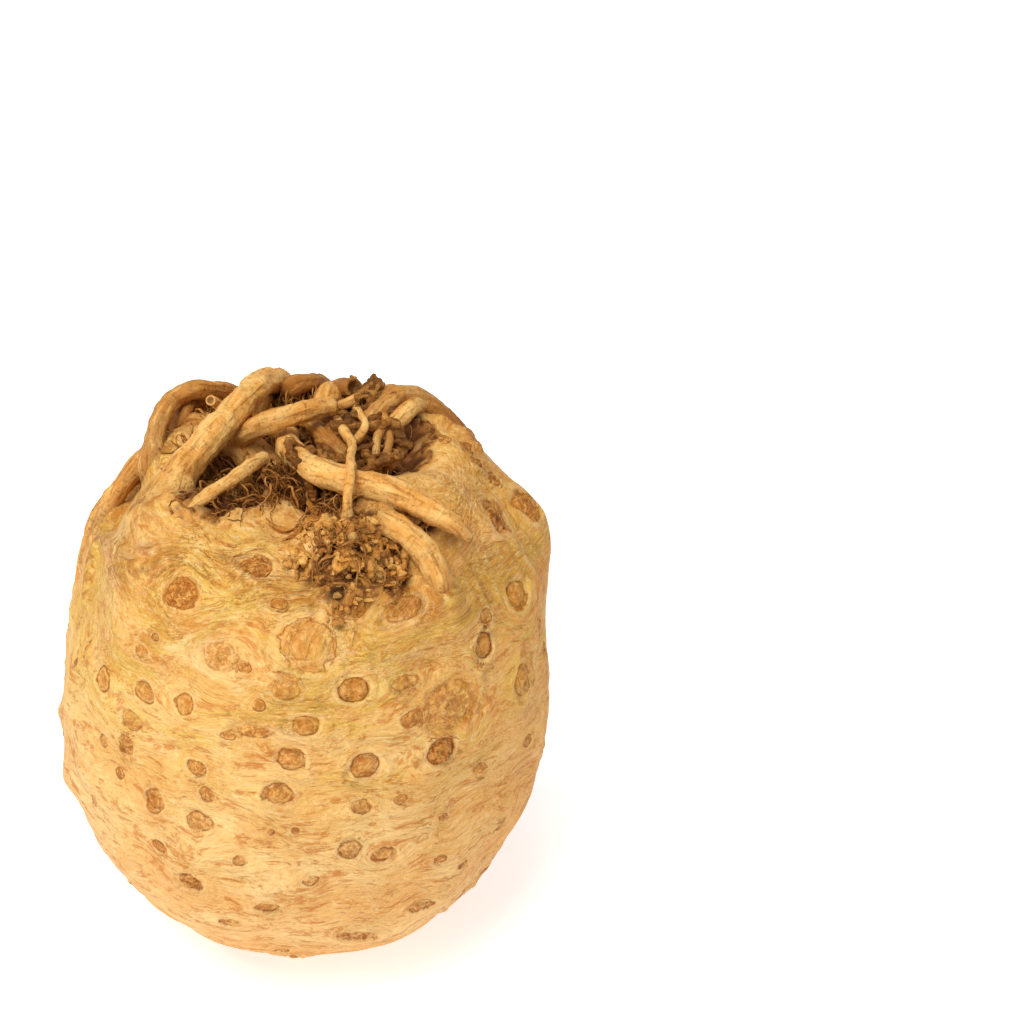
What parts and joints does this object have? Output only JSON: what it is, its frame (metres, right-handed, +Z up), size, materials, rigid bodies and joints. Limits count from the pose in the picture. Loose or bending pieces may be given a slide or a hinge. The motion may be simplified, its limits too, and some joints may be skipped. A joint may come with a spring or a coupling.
{
  "type": "celeriac root",
  "caption": "Whole celeriac root standing on its trimmed leaf end: a lumpy rounded barrel with ringed root scars, thick roots curling over its root end and a tangle of rootlets between them.",
  "frame": {"origin": "Centre of the flat spot at the trimmed leaf end, which the root stands on", "axes": "+Z up along the root's own axis, from the leaf end to the root end; +Y away from the viewer of the picture; +X to the viewer's right"},
  "size_m": [0.1185, 0.1174, 0.1348],
  "materials": {
    "celeriac_skin": "matte, dry, corky vegetable skin"
  },
  "bodies": {
    "root": {"celeriac_root": "celeriac_skin"}
  },
  "joints": []
}
